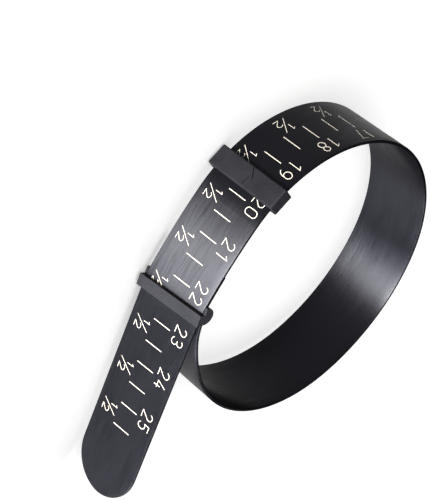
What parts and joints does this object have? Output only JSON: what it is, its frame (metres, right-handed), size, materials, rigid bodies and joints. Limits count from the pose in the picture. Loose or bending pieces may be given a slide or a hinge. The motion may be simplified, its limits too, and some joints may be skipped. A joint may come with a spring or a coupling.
{
  "type": "wrist sizing strap",
  "caption": "Thin graduated strap bent into a loop on its edge, its free tail running through a moulded head, with a slider sleeve carrying a raised arrow.",
  "frame": {"origin": "under the middle of the whole strap's bounding box, on the surface that its lower edges rest on", "axes": "+X along the straight tail, from the head towards its tip; +Y from the tail into the loop; +Z along the strap's width, up"},
  "size_m": [0.0856, 0.0628, 0.0183],
  "materials": {
    "strap_plastic": "satin black strap, brushed along its length",
    "head_plastic": "matte charcoal moulding with a fine spark-eroded grain",
    "slider_plastic": "matte charcoal moulding with a fine spark-eroded grain",
    "scale_ink": "pale cream printed scale marks and numerals"
  },
  "bodies": {
    "head": {"head": "head_plastic", "strap_start": "strap_plastic"},
    "tail": {"strap_tail": "strap_plastic"},
    "strap_flex_1": {"strap_flex_1": "strap_plastic"},
    "strap_flex_2": {"strap_flex_2": "strap_plastic"},
    "strap_flex_3": {"strap_flex_3": "strap_plastic"},
    "strap_flex_4": {"strap_flex_4": "strap_plastic"},
    "strap_flex_5": {"strap_flex_5": "strap_plastic"},
    "slider": {"slider": "slider_plastic"}
  },
  "joints": [
    {"name": "tail_slide", "type": "slide", "parent": "head", "child": "tail", "axis": [-1, 0, 0], "range_m": [0, 0.032]},
    {"name": "strap_bend_1", "type": "hinge", "parent": "head", "child": "strap_flex_1", "pos_m": [0.01066, -0.02261, 0.00915], "axis": [0, 0, 1], "range_deg": [0, 23.5]},
    {"name": "strap_bend_2", "type": "hinge", "parent": "strap_flex_1", "child": "strap_flex_2", "pos_m": [0.02119, -0.00315, 0.00915], "axis": [0, 0, 1], "range_deg": [-7, 0]},
    {"name": "strap_bend_3", "type": "hinge", "parent": "strap_flex_2", "child": "strap_flex_3", "pos_m": [0.01465, 0.01799, 0.00915], "axis": [0, 0, 1], "range_deg": [-11.2, 0]},
    {"name": "strap_bend_4", "type": "hinge", "parent": "strap_flex_3", "child": "strap_flex_4", "pos_m": [-0.01117, 0.03098, 0.00915], "axis": [0, 0, 1], "range_deg": [-15.4, 0]},
    {"name": "strap_bend_5", "type": "hinge", "parent": "strap_flex_4", "child": "strap_flex_5", "pos_m": [-0.03692, 0.0189, 0.00915], "axis": [0, 0, 1], "range_deg": [-9.6, 0]},
    {"name": "slider_travel", "type": "hinge", "parent": "strap_flex_5", "child": "slider", "pos_m": [-0.01408, 0.00211, 0.00915], "axis": [0, 0, 1], "range_deg": [-86, 8]}
  ],
  "couplings": [
    {"joint": "strap_bend_1", "follows": "tail_slide", "rad_per_m": 12.72},
    {"joint": "strap_bend_2", "follows": "tail_slide", "rad_per_m": -3.73},
    {"joint": "strap_bend_3", "follows": "tail_slide", "rad_per_m": -6},
    {"joint": "strap_bend_4", "follows": "tail_slide", "rad_per_m": -8.28},
    {"joint": "strap_bend_5", "follows": "tail_slide", "rad_per_m": -5.12}
  ]
}
